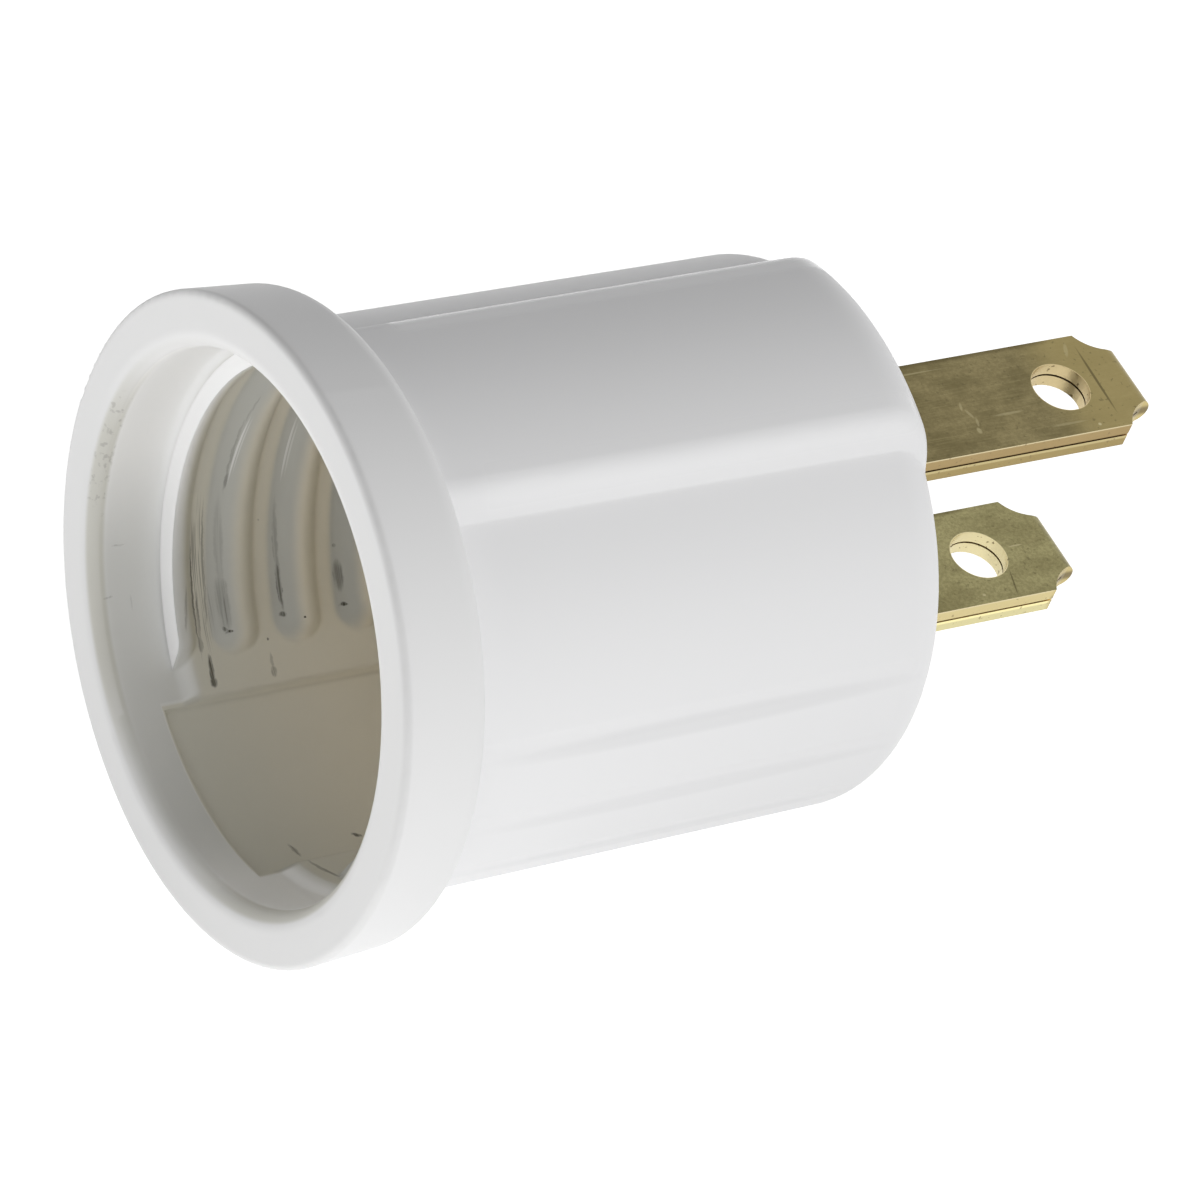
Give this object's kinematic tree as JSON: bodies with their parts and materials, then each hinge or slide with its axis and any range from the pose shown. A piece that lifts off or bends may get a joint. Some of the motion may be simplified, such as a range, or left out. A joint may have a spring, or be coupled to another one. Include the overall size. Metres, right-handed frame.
{
  "type": "lamp socket adapter",
  "caption": "Screw lamp socket adapter: round white moulding with a collared mouth, an interrupted lamp thread inside and flat folded brass plug blades at the back.",
  "frame": {"origin": "centre of the plug face, midway between the blades", "axes": "+X along the lamp axis from the plug face to the blade tips, +Z across the blade pair towards the blade of the screw shell contact, +Y along the blades' width"},
  "size_m": [0.0519, 0.0332, 0.0332],
  "materials": {
    "white_plastic": "semi-gloss moulded",
    "brass": "brushed, tarnished"
  },
  "bodies": {
    "root": {"body": "white_plastic", "shell_blade": "brass", "centre_blade": "brass"}
  },
  "joints": []
}
